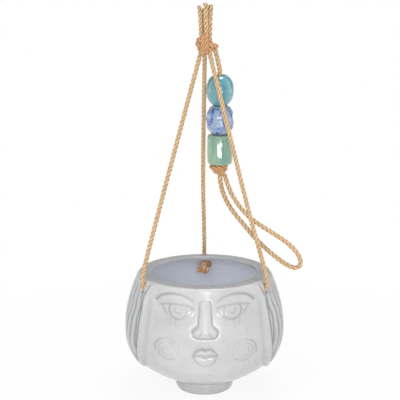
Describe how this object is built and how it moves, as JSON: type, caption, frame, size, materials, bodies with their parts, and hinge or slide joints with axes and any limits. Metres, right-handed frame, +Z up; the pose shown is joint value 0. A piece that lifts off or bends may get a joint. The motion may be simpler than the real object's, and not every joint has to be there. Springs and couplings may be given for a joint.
{
  "type": "hanging planter",
  "caption": "Round ceramic hanging planter with a raised face, on three jute cords gathered in a knot, with a beaded cord that ends in a hanging loop.",
  "frame": {"origin": "the point where the gathered cords are held, just above the gathering knot, on the bowl's axis", "axes": "+Z up along the bowl's axis; the face on the bowl looks along -Y; +X is to the right of someone who looks at the face"},
  "size_m": [0.1657, 0.1522, 0.3645],
  "materials": {
    "glaze": "glossy pale grey glaze",
    "turquoise_glaze": "glossy turquoise glaze",
    "blue_glaze": "glossy mottled blue glaze",
    "green_glaze": "glossy sea green glaze",
    "jute": "twisted jute cord",
    "jute_knot": "tightly knotted jute cord"
  },
  "bodies": {
    "held_ends": {"cut_end_front": "jute", "cut_end_right": "jute", "cut_end_right_rear": "jute", "cut_end_left_rear": "jute", "cut_end_left": "jute"},
    "knot": {"gathering_knot": "jute_knot"},
    "planter": {"planter_bowl": "glaze", "hanger_cord_left": "jute", "hanger_cord_right": "jute", "hanger_cord_back": "jute", "stopper_knot_left": "jute_knot", "stopper_knot_right": "jute_knot", "stopper_knot_back": "jute_knot"},
    "strand": {"bead_cord_front": "jute", "bead_cord_rear": "jute", "bead_knot": "jute_knot"},
    "green_bead": {"bead_green": "green_glaze"},
    "blue_bead": {"bead_blue": "blue_glaze"},
    "turquoise_bead": {"bead_turquoise": "turquoise_glaze"},
    "loop": {"hanging_loop": "jute"}
  },
  "joints": [
    {"name": "turn", "type": "hinge", "parent": "held_ends", "child": "knot", "pos_m": [0, 0, 0], "axis": [0, 0, 1], "range_deg": [-180, 180], "stiffness_Nm_per_rad": 0.002},
    {"name": "sway", "type": "hinge", "parent": "knot", "child": "planter", "pos_m": [0, 0, -0.009], "axis": [0, 1, 0], "range_deg": [-12, 12]},
    {"name": "strand_lift", "type": "hinge", "parent": "planter", "child": "strand", "pos_m": [0.0095, 0.0045, -0.0136], "axis": [0, -1, 0], "range_deg": [0, 140]},
    {"name": "beads_slide", "type": "slide", "parent": "strand", "child": "green_bead", "axis": [0, 0, 1], "range_m": [0, 0.008]},
    {"name": "blue_spin", "type": "hinge", "parent": "green_bead", "child": "blue_bead", "pos_m": [0.0142, 0.009, -0.0797], "axis": [0, 0, 1], "continuous": true},
    {"name": "turquoise_spin", "type": "hinge", "parent": "green_bead", "child": "turquoise_bead", "pos_m": [0.0142, 0.009, -0.0522], "axis": [0, 0, 1], "continuous": true},
    {"name": "loop_swing", "type": "hinge", "parent": "strand", "child": "loop", "pos_m": [0.016, 0.009, -0.132], "axis": [0, 0, 1], "range_deg": [-15, 60], "stiffness_Nm_per_rad": 0.003}
  ]
}
